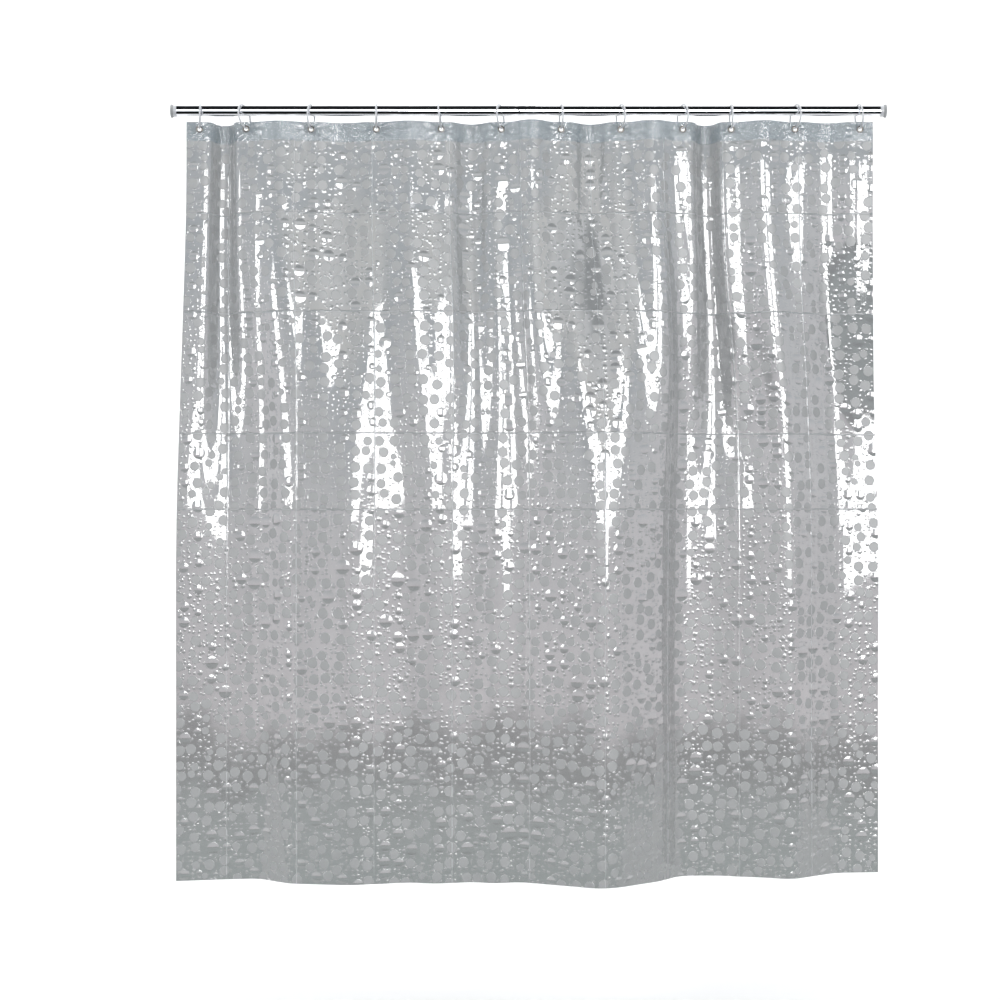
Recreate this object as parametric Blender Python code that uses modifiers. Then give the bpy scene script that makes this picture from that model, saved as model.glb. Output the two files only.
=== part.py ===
"""A clear PEVA shower curtain hung from twelve plastic rings on a chromed tension rod.

Metres, +Z up. +X runs along the rod, +Y goes away from the viewer.
The origin is the middle of the left wall pad's face.
"""
import math

import bmesh
import bpy
import numpy as np
from mathutils import Matrix, Vector

# Rod
TUBE_R = 0.0125
TUBE_WALL = 0.0005
TUBE_PLAY = 0.0003
PAD_R = TUBE_R + 0.0030
PAD_THICK = 0.006
CAP_THICK = 0.0074
CAP_R = TUBE_R + 0.0010
PLUG_DEPTH = 0.030
OUTER_TUBE_SHARE = 0.505
TUBE_OVERLAP = 0.170
BUSH_LENGTH = 0.008
END_ROOM = 0.0616
GAP = 0.0003

# Spring inside the tubes
SPRING_LENGTH = 0.110
SPRING_TURNS = 8
SPRING_WIRE_R = 0.0009
SPRING_PLAY = 0.0012
DISC_THICK = 0.008

# Rings
RING_COUNT = 12
RING_R = 0.028
WIRE_R = 0.002
SPLIT_ANGLE = 9.0
SPLIT_AT = -27.0
CLASP_SWELL = 1.30
RING_STEPS = 20
RING_YAW = (9, -20, -11, 2, -2, -17, 7, 18, 21, 0, 17, 7)
RING_LEAN = (2, -9, 0, 0, -7, -4, 0, 0, 0, 0, 3, -4)
MOST_YAW = 25.0

# Eyelets
EYELET_HOLE_R = 0.0048
EYELET_BARREL_R = EYELET_HOLE_R + 0.0006
EYELET_FLANGE_R = EYELET_BARREL_R + 0.0026
EYELET_LIP_R = EYELET_BARREL_R + 0.0012
EYELET_DROP = 0.018
WIRE_ABOVE_EYELET = EYELET_HOLE_R - WIRE_R - 0.0007
ROUND_STEPS = 12

# Film
SHEET_WIDTH = 1.800
SHEET_HEIGHT = 1.800
FILM = 0.0002
BAND_HEIGHT = 0.045
BAND_OUT = 0.0005
FLAT_BY_EYELET = EYELET_FLANGE_R + 0.0020
SIDE_MARGIN = 0.031
FIRST_EYELET_X = 0.0673

# How wide each bay between two eyelets hangs, as a share of its flat width,
# and which way it bulges.
BAY_SHARES = (0.700, 0.973, 0.980, 0.973, 0.900, 0.900, 0.893, 0.930, 0.727, 0.956, 0.974)
BAY_WAYS = (1, -1, 1, -1, 1, -1, 1, -1, 1, -1, 1)

# The hem's folds: distance along the hem from the left edge, and depth, on film of
# FOLD_PLAN_WIDTH, in proportion on any other.
FOLD_PLAN_WIDTH = 1.800
HEM_FOLDS = (
    (0.000, 0.000), (0.122, 0.019), (0.194, 0.028), (0.288, -0.024),
    (0.436, -0.044), (0.579, -0.015), (0.635, -0.026), (0.727, -0.007),
    (0.783, -0.024), (0.846, -0.011), (0.971, -0.054), (1.037, -0.077),
    (1.083, -0.068), (1.135, -0.044), (1.211, -0.002), (1.292, 0.056),
    (1.370, 0.061), (1.481, 0.041), (1.556, 0.019), (1.697, 0.090),
    (1.800, 0.098),
)
FOLD_ROUNDING = 0.016
FOLDS_BEGIN = 0.055
FOLDS_FULL = 1.05
LEFT_FLARE = 0.025
RIGHT_FLARE = 0.034
ROW_SHARES = (0.055, 0.10, 0.165, 0.25, 0.36, 0.50, 0.665, 0.83, 1.0)
BAY_COLUMNS = 4

PITCH = (SHEET_WIDTH - 2 * SIDE_MARGIN) / (RING_COUNT - 1)
WALL_SPAN = round(FIRST_EYELET_X + PITCH * sum(BAY_SHARES) + END_ROOM, 4)
TUBE_START = PAD_THICK + CAP_THICK + 2 * GAP
TUBE_END = WALL_SPAN - TUBE_START
OUTER_END = TUBE_START + OUTER_TUBE_SHARE * (TUBE_END - TUBE_START)
OUTER_BORE = TUBE_R - TUBE_WALL
INNER_R = OUTER_BORE - TUBE_PLAY
INNER_BORE = INNER_R - TUBE_WALL
INNER_START = OUTER_END - TUBE_OVERLAP
RING_TOP_Z = TUBE_R + GAP + WIRE_R


def clear_scene():
    for thing in list(bpy.data.objects):
        bpy.data.objects.remove(thing, do_unlink=True)


def collection(name):
    made = bpy.data.collections.new(name)
    bpy.context.scene.collection.children.link(made)
    return made


def material(name, colour, roughness, metallic=0.0, alpha=1.0):
    made = bpy.data.materials.new(name)
    made.use_nodes = True
    shader = made.node_tree.nodes["Principled BSDF"]
    shader.inputs["Base Color"].default_value = (*colour, 1.0)
    shader.inputs["Roughness"].default_value = roughness
    shader.inputs["Metallic"].default_value = metallic
    shader.inputs["Alpha"].default_value = alpha
    return made


def chrome(name):
    return material(name, (0.62, 0.63, 0.65), 0.08, metallic=1.0)


def nickel(name):
    return material(name, (0.55, 0.53, 0.50), 0.2, metallic=1.0)


def white_plastic(name):
    return material(name, (0.82, 0.82, 0.83), 0.3)


def grey_rubber(name):
    return material(name, (0.35, 0.36, 0.37), 0.7)


def spring_steel(name):
    return material(name, (0.35, 0.36, 0.38), 0.35, metallic=1.0)


def film(name, colour):
    return material(name, colour, 0.25, alpha=0.6)


def place(thing, home, origin, finish):
    """Links the object and moves its origin without moving its shape."""
    home.objects.link(thing)
    thing.location = origin
    thing.data.materials.append(finish)
    return thing


def turn(thing, outline, along, steps):
    """Adds the Screw that turns an outline, with the surface facing out."""
    area = 0.0
    for (x, r), (next_x, next_r) in zip(outline, outline[1:] + outline[:1]):
        area += x * next_r - next_x * r
    screw = thing.modifiers.new("turned", "SCREW")
    screw.axis = along
    screw.angle = math.tau
    screw.steps = steps
    screw.render_steps = steps
    screw.use_merge_vertices = True
    screw.merge_threshold = 0.00002
    screw.use_normal_flip = area < 0


def lathe(name, outline, origin, home, finish, steps, along="X", solid=False):
    """Turns an outline of (distance along the axis, radius) around that axis.

    A solid's outline starts and ends on the axis, and a hollow one is a closed loop.
    """
    mesh = bpy.data.meshes.new(name)
    edge = bmesh.new()
    corners = []
    for distance, radius in outline:
        spot = (distance, 0.0, radius) if along == "X" else (0.0, distance, radius)
        corners.append(edge.verts.new(spot))
    ends = [] if solid else corners[:1]
    for here, there in zip(corners, corners[1:] + ends):
        edge.edges.new((here, there))
    edge.to_mesh(mesh)
    edge.free()
    thing = bpy.data.objects.new(name, mesh)
    turn(thing, list(outline), along, steps)
    return place(thing, home, origin, finish)


def tube(name, start, end, outer, bore, home, finish):
    length = end - start
    outline = ((0.0, bore), (0.0, outer), (length, outer), (length, bore))
    return lathe(name, outline, (start, 0.0, 0.0), home, finish, 24)


def solid_disc(name, start, outline, home, finish):
    return lathe(name, outline, (start, 0.0, 0.0), home, finish, 24, solid=True)


def bent_wire(name, points, radii, wire, home, origin, finish, roundness):
    """A round wire along a line of points, closed at both ends."""
    curve = bpy.data.curves.new(name, "CURVE")
    curve.dimensions = "3D"
    curve.bevel_depth = wire
    curve.bevel_resolution = roundness
    curve.use_fill_caps = True
    line = curve.splines.new("POLY")
    line.points.add(len(points) - 1)
    for spot, where, swell in zip(line.points, points, radii):
        spot.co = (*where, 1.0)
        spot.radius = swell
    return place(bpy.data.objects.new(name, curve), home, origin, finish)


def build_rod(home):
    tube("outer_tube", TUBE_START, OUTER_END, TUBE_R, OUTER_BORE, home, chrome("outer_tube_chrome"))
    tube("inner_tube", INNER_START, TUBE_END, INNER_R, INNER_BORE, home, chrome("inner_tube_chrome"))
    start = OUTER_END + GAP
    tube("tube_bush", start, start + BUSH_LENGTH, TUBE_R, OUTER_BORE, home, chrome("bush_chrome"))


def build_end(side, home):
    """A plastic cap plugged into the tube, and the rubber pad that grips the wall."""
    bore = OUTER_BORE if side == "left" else INNER_BORE
    way = 1.0 if side == "left" else -1.0
    wall = 0.0 if side == "left" else WALL_SPAN
    cap = wall + way * (PAD_THICK + GAP)
    pad_outline = (
        (0.0, 0.0), (0.0, PAD_R), (0.0035, PAD_R), (PAD_THICK, CAP_R), (PAD_THICK, 0.0),
    )
    cap_outline = (
        (0.0, 0.0), (0.0, CAP_R), (CAP_THICK - 0.001, CAP_R), (CAP_THICK, CAP_R - 0.001),
        (CAP_THICK, bore - GAP), (CAP_THICK + PLUG_DEPTH, bore - GAP),
        (CAP_THICK + PLUG_DEPTH, 0.0),
    )
    pad = [(way * along, radius) for along, radius in pad_outline]
    plug = [(way * along, radius) for along, radius in cap_outline]
    solid_disc(f"{side}_end_pad", wall, pad, home, grey_rubber(f"{side}_pad_rubber"))
    solid_disc(f"{side}_end_cap", cap, plug, home, white_plastic(f"{side}_cap_plastic"))


def build_spring(home):
    """A coil between a seat crimped in the outer tube and a plug on the inner tube's end."""
    plug_end = INNER_START - GAP
    plug_start = plug_end - DISC_THICK
    coil_end = plug_start - GAP
    coil_start = coil_end - SPRING_LENGTH
    seat_end = coil_start - GAP
    coil_r = OUTER_BORE - SPRING_PLAY - SPRING_WIRE_R
    flat = OUTER_BORE - TUBE_PLAY
    seat = ((0.0, 0.0), (0.0, flat), (DISC_THICK, flat), (DISC_THICK, 0.0))
    grip = INNER_BORE - GAP
    stop = (
        (0.0, 0.0), (0.0, flat), (DISC_THICK, flat), (DISC_THICK, grip),
        (DISC_THICK + 0.012, grip), (DISC_THICK + 0.012, 0.0),
    )
    solid_disc("spring_seat", seat_end - DISC_THICK, seat, home, white_plastic("seat_plastic"))
    solid_disc("inner_tube_stop", plug_start, stop, home, white_plastic("stop_plastic"))
    steps = 12
    length = SPRING_LENGTH - 2 * SPRING_WIRE_R
    points = []
    for step in range(SPRING_TURNS * steps + 1):
        turn = math.tau * step / steps
        along = SPRING_WIRE_R + length * step / (SPRING_TURNS * steps)
        points.append((along, coil_r * math.sin(turn), coil_r * math.cos(turn)))
    bent_wire(
        "pressure_spring", points, [1.0] * len(points), SPRING_WIRE_R, home,
        (coil_start, 0.0, 0.0), spring_steel("spring_steel"), 2,
    )


def eyelet_flat_u(index):
    return SIDE_MARGIN + index * PITCH


def eyelet_x(index):
    return FIRST_EYELET_X + PITCH * sum(BAY_SHARES[:index])


def ring_points(index, yaw):
    """The ring's wire, from its lowest point, turned by yaw about the line to its top."""
    start = SPLIT_AT + SPLIT_ANGLE / 2
    sweep = 360.0 - SPLIT_ANGLE
    grid = 360.0 / RING_STEPS
    first = math.ceil((start + 12.0) / grid)
    last = math.floor((start + sweep - 12.0) / grid)
    turns = [start, start + 7.0]
    turns += [grid * step for step in range(first, last + 1)]
    turns += [start + sweep - 7.0, start + sweep]
    lean = Matrix.Rotation(math.radians(RING_LEAN[index]), 4, "Y")
    twist = Matrix.Rotation(math.radians(yaw), 4, "Z")
    points = []
    for turn in turns:
        angle = math.radians(turn)
        spot = Vector((0.0, RING_R * math.cos(angle), RING_R + RING_R * math.sin(angle)))
        points.append((lean @ twist) @ spot)
    return points


def wire_low_z(index):
    """The height of the ring's lowest wire centre, so that it clears the rod at any yaw."""
    low = RING_TOP_Z - 2 * RING_R * math.cos(math.radians(RING_LEAN[index]))
    nearest = 1.0
    for yaw in (-MOST_YAW, RING_YAW[index], MOST_YAW):
        points = ring_points(index, yaw)
        for here, there in zip(points, points[1:]):
            for part in np.linspace(0.0, 1.0, 9):
                spot = here.lerp(there, float(part))
                if spot.z > RING_R:
                    nearest = min(nearest, math.hypot(spot.y, spot.z + low))
    return low + RING_TOP_Z - nearest


def eyelet_z(index):
    return wire_low_z(index) - WIRE_ABOVE_EYELET


SHEET_TOP_Z = RING_TOP_Z - 2 * RING_R - WIRE_ABOVE_EYELET + EYELET_DROP


def build_ring(index, home):
    """A round split ring whose two ends swell into a clasp behind the rod."""
    name = f"ring_{index + 1:02d}"
    turned = ring_points(index, RING_YAW[index])
    radii = [CLASP_SWELL] * 2 + [1.0] * (len(turned) - 4) + [CLASP_SWELL] * 2
    origin = (eyelet_x(index), 0.0, wire_low_z(index))
    bent_wire(name, turned, radii, WIRE_R, home, origin, white_plastic(f"{name}_plastic"), 1)


def build_eyelet(index, home):
    """A rolled eyelet from the front and the washer it is set into at the back."""
    name = f"eyelet_{index + 1:02d}"
    face = -BAND_OUT - FILM / 2 - GAP
    back = FILM / 2 + GAP
    washer_back = back + 0.0006
    lip = washer_back + GAP
    outline = (
        (face, EYELET_BARREL_R), (face, EYELET_FLANGE_R),
        (face - 0.0010, EYELET_FLANGE_R - 0.0014), (face - 0.0006, EYELET_HOLE_R),
        (lip, EYELET_HOLE_R), (lip + 0.0006, EYELET_HOLE_R + 0.0008),
        (lip, EYELET_LIP_R), (lip, EYELET_BARREL_R),
    )
    origin = (eyelet_x(index), 0.0, eyelet_z(index))
    lathe(name, outline, origin, home, nickel(f"{name}_nickel"), ROUND_STEPS, along="Y")
    inner = EYELET_BARREL_R + GAP + 0.0002
    washer = (
        (back, inner), (back, EYELET_FLANGE_R), (washer_back, EYELET_FLANGE_R),
        (washer_back, inner),
    )
    finish = nickel(f"washer_{index + 1:02d}_nickel")
    lathe(f"eyelet_washer_{index + 1:02d}", washer, origin, home, finish, ROUND_STEPS, along="Y")


def bulge_slope(share):
    """The steepest slope of a bulge whose chord is this share of its length."""
    low, high = 0.0, 1.0
    angles = np.linspace(0.0, math.pi, 721)
    for _ in range(40):
        middle = (low + high) / 2
        if np.sqrt(1 - (middle * np.sin(angles)) ** 2).mean() > share:
            low = middle
        else:
            high = middle
    return low


def top_depth(u):
    """The film's depth along its top edge: flat by each eyelet, bulging between them."""
    depth = np.zeros_like(u)
    length = PITCH - 2 * FLAT_BY_EYELET
    for index, (share, way) in enumerate(zip(BAY_SHARES, BAY_WAYS)):
        chord = (share * PITCH - 2 * FLAT_BY_EYELET) / length
        height = bulge_slope(chord) * length / math.pi
        start = eyelet_flat_u(index) + FLAT_BY_EYELET
        along = np.clip((u - start) / length, 0.0, 1.0)
        depth += way * height * np.sin(math.pi * along) ** 2
    return depth


def hem_depth(u):
    """The film's depth along its hem: broad folds with rounded turns."""
    spots = np.array(HEM_FOLDS) * SHEET_WIDTH / FOLD_PLAN_WIDTH
    total = np.zeros_like(u)
    for shift in np.linspace(-1.5, 1.5, 13):
        total += np.interp(u + shift * FOLD_ROUNDING, spots[:, 0], spots[:, 1])
    return total / 13


def smooth_share(value, start, end):
    share = min(max((value - start) / (end - start), 0.0), 1.0)
    return share * share * (3 - 2 * share)


def film_row(v, wanted):
    """Where the film hangs at distance v below its top edge, for each flat distance u.

    The film is not stretched: each row's length along its folds stays the flat width.
    """
    u = np.linspace(0.0, SHEET_WIDTH, 1801)
    turn = smooth_share(v, FOLDS_BEGIN, FOLDS_FULL) * math.pi / 2
    depth = math.cos(turn) * top_depth(u) + math.sin(turn) * hem_depth(u)
    slope = np.gradient(depth, u)
    run = np.sqrt(np.clip(1 - slope**2, 0.0, 1.0))
    across = np.concatenate(([0.0], np.cumsum((run[1:] + run[:-1]) / 2 * np.diff(u))))
    flare = smooth_share(v, FOLDS_BEGIN, 1.1)
    left = FIRST_EYELET_X - SIDE_MARGIN - LEFT_FLARE * flare
    right = eyelet_x(RING_COUNT - 1) + SIDE_MARGIN + RIGHT_FLARE * flare
    across = left + across * (right - left) / across[-1]
    return np.interp(wanted, u, across), np.interp(wanted, u, depth)


def film_columns():
    columns = [0.0]
    length = PITCH - 2 * FLAT_BY_EYELET
    for index in range(RING_COUNT):
        u = eyelet_flat_u(index)
        columns += [u - FLAT_BY_EYELET, u + FLAT_BY_EYELET]
        if index < RING_COUNT - 1:
            for step in range(BAY_COLUMNS):
                part = (step + 1) / (BAY_COLUMNS + 1)
                columns.append(u + FLAT_BY_EYELET + part * length)
    return columns + [SHEET_WIDTH]


def film_grid(name, rows, out, thickness, home, finish):
    """A grid laid on the hanging film, moved out along its normals and given thickness."""
    columns = film_columns()
    bpy.ops.mesh.primitive_grid_add(
        x_subdivisions=len(columns) - 1, y_subdivisions=len(rows) - 1, size=2.0
    )
    thing = bpy.context.object
    thing.name = name
    thing.data.name = name
    places = [film_row(v, np.array(columns)) for v in rows]
    origin = Vector((FIRST_EYELET_X, 0.0, 0.0))
    for vertex in thing.data.vertices:
        column = round((vertex.co.x + 1) / 2 * (len(columns) - 1))
        row = round((1 - vertex.co.y) / 2 * (len(rows) - 1))
        across, depth = places[row]
        ahead, behind = min(column + 1, len(columns) - 1), max(column - 1, 0)
        along = Vector((across[ahead] - across[behind], depth[ahead] - depth[behind], 0.0))
        out_way = Vector((along.y, -along.x, 0.0)).normalized()
        spot = Vector((across[column], depth[column], SHEET_TOP_Z - rows[row]))
        vertex.co = spot + out_way * out - origin
    for owner in list(thing.users_collection):
        owner.objects.unlink(thing)
    place(thing, home, origin, finish)
    thicken = thing.modifiers.new("film thickness", "SOLIDIFY")
    thicken.thickness = thickness
    thicken.offset = 0.0
    thicken.use_even_offset = True
    return thing


def punch_holes(things, cutters):
    """Cuts the eyelet holes through every layer of film."""
    for index in range(RING_COUNT):
        bpy.ops.mesh.primitive_cylinder_add(
            vertices=ROUND_STEPS, radius=EYELET_BARREL_R + GAP, depth=0.006
        )
        punch = bpy.context.object
        punch.name = f"eyelet_punch_{index + 1:02d}"
        punch.data.transform(Matrix.Rotation(math.pi / 2, 4, "X"))
        punch.location = (eyelet_x(index), 0.0, eyelet_z(index))
        for owner in list(punch.users_collection):
            owner.objects.unlink(punch)
        cutters.objects.link(punch)
        punch.hide_render = True
        punch.display_type = "WIRE"
    for thing in things:
        cut = thing.modifiers.new("eyelet holes", "BOOLEAN")
        cut.operation = "DIFFERENCE"
        cut.solver = "EXACT"
        cut.operand_type = "COLLECTION"
        cut.collection = cutters


def build_film(home, cutters):
    rows = [0.0, BAND_HEIGHT] + [share * SHEET_HEIGHT for share in ROW_SHARES]
    sheet = film_grid(
        "curtain_sheet", rows, 0.0, FILM, home, film("sheet_film", (0.60, 0.63, 0.66))
    )
    band_rows = (0.0, BAND_HEIGHT)
    band = film_grid(
        "header_band", band_rows, BAND_OUT, FILM, home, film("band_film", (0.62, 0.68, 0.72))
    )
    punch_holes((sheet, band), cutters)


def main():
    clear_scene()
    home = collection("shower_curtain")
    cutters = collection("shower_curtain_cutters")
    build_rod(home)
    build_end("left", home)
    build_end("right", home)
    build_spring(home)
    for index in range(RING_COUNT):
        build_ring(index, home)
        build_eyelet(index, home)
    build_film(home, cutters)


main()
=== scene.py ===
"""Looks for a clear film shower curtain on round plastic rings and a chromed tension rod.

Metres, +Z up, +X along the rod, +Y away from the viewer.
"""

import math

import bmesh
import bpy
import numpy as np
from mathutils import Matrix, Vector


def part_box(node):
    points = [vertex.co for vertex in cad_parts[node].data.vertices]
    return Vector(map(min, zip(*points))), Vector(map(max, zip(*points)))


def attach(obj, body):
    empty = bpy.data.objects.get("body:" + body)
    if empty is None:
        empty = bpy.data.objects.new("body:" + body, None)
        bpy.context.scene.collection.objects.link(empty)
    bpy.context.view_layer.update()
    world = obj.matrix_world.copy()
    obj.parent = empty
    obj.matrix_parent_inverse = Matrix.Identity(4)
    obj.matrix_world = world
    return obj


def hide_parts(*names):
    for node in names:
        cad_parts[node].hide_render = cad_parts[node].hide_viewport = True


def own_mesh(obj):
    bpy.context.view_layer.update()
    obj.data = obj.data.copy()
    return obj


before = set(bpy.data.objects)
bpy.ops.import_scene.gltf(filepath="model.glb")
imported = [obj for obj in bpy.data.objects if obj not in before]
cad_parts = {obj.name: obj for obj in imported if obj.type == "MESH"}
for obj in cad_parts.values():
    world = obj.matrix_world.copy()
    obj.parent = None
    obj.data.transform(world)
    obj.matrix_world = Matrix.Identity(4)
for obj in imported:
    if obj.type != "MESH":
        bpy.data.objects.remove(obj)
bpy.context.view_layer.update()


# ---------------------------------------------------------------- sizes

RINGS = 12
RING_R = 0.028
WIRE_R = 0.002
RING_YAW = (9, -20, -11, 2, -2, -17, 7, 18, 21, 0, 17, 7)
RING_LEAN = (2, -9, 0, 0, -7, -4, 0, 0, 0, 0, 3, -4)

SHEET_WIDTH = 1.800
SHEET_HEIGHT = 1.800
BAND_HEIGHT = 0.045
BAND_OUT = 0.0005
SIDE_MARGIN = 0.031
FLAT_BY_EYELET = 0.010
FILM_HOLE_R = 0.0064
PITCH = (SHEET_WIDTH - 2 * SIDE_MARGIN) / (RINGS - 1)
BAY_SHARES = (0.700, 0.973, 0.980, 0.973, 0.900, 0.900, 0.893, 0.930, 0.727, 0.956, 0.974)
BAY_WAYS = (1, -1, 1, -1, 1, -1, 1, -1, 1, -1, 1)
HEM_FOLDS = (
    (0.000, 0.000), (0.122, 0.019), (0.194, 0.028), (0.288, -0.024),
    (0.436, -0.044), (0.579, -0.015), (0.635, -0.026), (0.727, -0.007),
    (0.783, -0.024), (0.846, -0.011), (0.971, -0.054), (1.037, -0.077),
    (1.083, -0.068), (1.135, -0.044), (1.211, -0.002), (1.292, 0.056),
    (1.370, 0.061), (1.481, 0.041), (1.556, 0.019), (1.697, 0.090),
    (1.800, 0.098),
)
FOLD_ROUNDING = 0.016
FOLDS_BEGIN = 0.055
FOLDS_FULL = 1.05
LEFT_FLARE = 0.025
RIGHT_FLARE = 0.034
SPLIT_AT = -27.0
SPLIT_ANGLE = 5.0
COLLAR_ANGLE = 8.0
WIRE_ABOVE_EYELET = 0.0021
EYELET_DROP = 0.018
BIG_BLISTER_HIGH = 0.0011
SMALL_BLISTER_HIGH = 0.0006
TINY_BLISTER_HIGH = 0.00042
DISC_HIGH = 0.00025
SPRING_TURNS = 8
SPRING_WIRE_R = 0.0009

# Studio
WINDOW_Y = -4.4
WINDOW_POWER = 62  # watts for each square metre
CAMERA_BACK = 4.0
VIEW_WIDTH = 2.37
VIEW_X = 0.7795
VIEW_Z = -0.9215
FLOOR_Z = -2.05
FLOOR_FRONT = -0.6
WALL_Y = 3.2
COVE_R = 0.8

# The packing creases of new film, as flat distances from the left and top edges.
CREASES_DOWN = [0.120 + 0.1875 * step for step in range(9)]
CREASES_ACROSS = (0.216, 0.450, 0.738, 0.918)

EYELETS = [
    (Vector(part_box(f"eyelet_{n:02d}")[0]) + Vector(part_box(f"eyelet_{n:02d}")[1])) / 2
    for n in range(1, RINGS + 1)
]
SHEET_TOP_Z = float(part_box("curtain_sheet")[1][2])


# ---------------------------------------------------------------- the film's shape

def bulge_slope(share):
    """The steepest slope of a bulge whose chord is this share of its length."""
    low, high = 0.0, 1.0
    angles = np.linspace(0.0, math.pi, 721)
    for _ in range(40):
        middle = (low + high) / 2
        if np.sqrt(1 - (middle * np.sin(angles)) ** 2).mean() > share:
            low = middle
        else:
            high = middle
    return low


def top_depth(u):
    """Depth along the top edge: flat by each eyelet, bulging between them."""
    depth = np.zeros_like(u)
    length = PITCH - 2 * FLAT_BY_EYELET
    for index, (share, way) in enumerate(zip(BAY_SHARES, BAY_WAYS)):
        chord = (share * PITCH - 2 * FLAT_BY_EYELET) / length
        height = bulge_slope(chord) * length / math.pi
        start = SIDE_MARGIN + index * PITCH + FLAT_BY_EYELET
        along = np.clip((u - start) / length, 0.0, 1.0)
        depth += way * height * np.sin(math.pi * along) ** 2
    return depth


def hem_depth(u):
    """Depth along the hem: broad folds with rounded turns."""
    spots = np.array(HEM_FOLDS)
    total = np.zeros_like(u)
    for shift in np.linspace(-1.5, 1.5, 13):
        total += np.interp(u + shift * FOLD_ROUNDING, spots[:, 0], spots[:, 1])
    return total / 13


def eased(value, start, end):
    share = np.clip((value - start) / (end - start), 0.0, 1.0)
    return share * share * (3 - 2 * share)


LINE = np.linspace(0.0, SHEET_WIDTH, 1801)
TOP_LINE = top_depth(LINE)
HEM_LINE = hem_depth(LINE)


def film_row(v, wanted):
    """Where the film hangs at distance v below its top edge.

    Each level is scaled across by up to 1.5 percent, to meet the side edges.
    """
    turn = float(eased(v, FOLDS_BEGIN, FOLDS_FULL)) * math.pi / 2
    depth = math.cos(turn) * TOP_LINE + math.sin(turn) * HEM_LINE
    slope = np.gradient(depth, LINE)
    run = np.sqrt(np.clip(1 - slope**2, 0.0, 1.0))
    across = np.concatenate(([0.0], np.cumsum((run[1:] + run[:-1]) / 2 * np.diff(LINE))))
    flare = float(eased(v, FOLDS_BEGIN, 1.1))
    left = EYELETS[0].x - SIDE_MARGIN - LEFT_FLARE * flare
    right = EYELETS[-1].x + SIDE_MARGIN + RIGHT_FLARE * flare
    across = left + across * (right - left) / across[-1]
    return np.interp(wanted, LINE, across), np.interp(wanted, LINE, depth)


def smooth_noise(rng, u, v, size_u, size_v):
    """Even random hills about this far apart, from -1 to 1."""
    total = np.zeros(np.broadcast(u, v).shape)
    for _ in range(10):
        turn, phase = rng.uniform(0, math.tau, 2)
        pace = rng.uniform(0.6, 1.4)
        total += np.sin(
            math.tau * pace * (np.cos(turn) * u / size_u + np.sin(turn) * v / size_v) + phase
        )
    return total / 5


def zigzag(where, creases, first, last):
    """A line that turns at each crease, from -1 at one to 1 at the next."""
    marks = [first, *creases, last]
    return np.interp(where, marks, [(-1.0) ** n for n in range(len(marks))])


def relief(u, v):
    """How far the film stands off its broad folds: packing creases and soft buckles."""
    rng = np.random.default_rng(7)
    across = zigzag(u, CREASES_DOWN, -0.07, 1.81)
    down = zigzag(v, CREASES_ACROSS, 0.0, 1.35)
    lift = 0.0022 * across + 0.0013 * down
    lift += 0.0007 * across * down
    lift += 0.0012 * smooth_noise(rng, u, v, 0.16, 0.80)
    lift += 0.0003 * smooth_noise(rng, u, v, 0.06, 0.45)
    return lift * eased(v, 0.050, 0.200)


def stops(spans):
    """Even steps along joined spans of (end, how many cells)."""
    marks, start = [0.0], 0.0
    for end, cells in spans:
        marks += [start + (end - start) * (n + 1) / cells for n in range(cells)]
        start = end
    return np.array(marks)


def film_columns():
    spans = [(SIDE_MARGIN - FLAT_BY_EYELET, 4)]
    for index in range(RINGS):
        u = SIDE_MARGIN + index * PITCH
        spans.append((u + FLAT_BY_EYELET, 8))
        if index < RINGS - 1:
            spans.append((u + PITCH - FLAT_BY_EYELET, 21))
    return stops(spans + [(SHEET_WIDTH, 4)])


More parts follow.
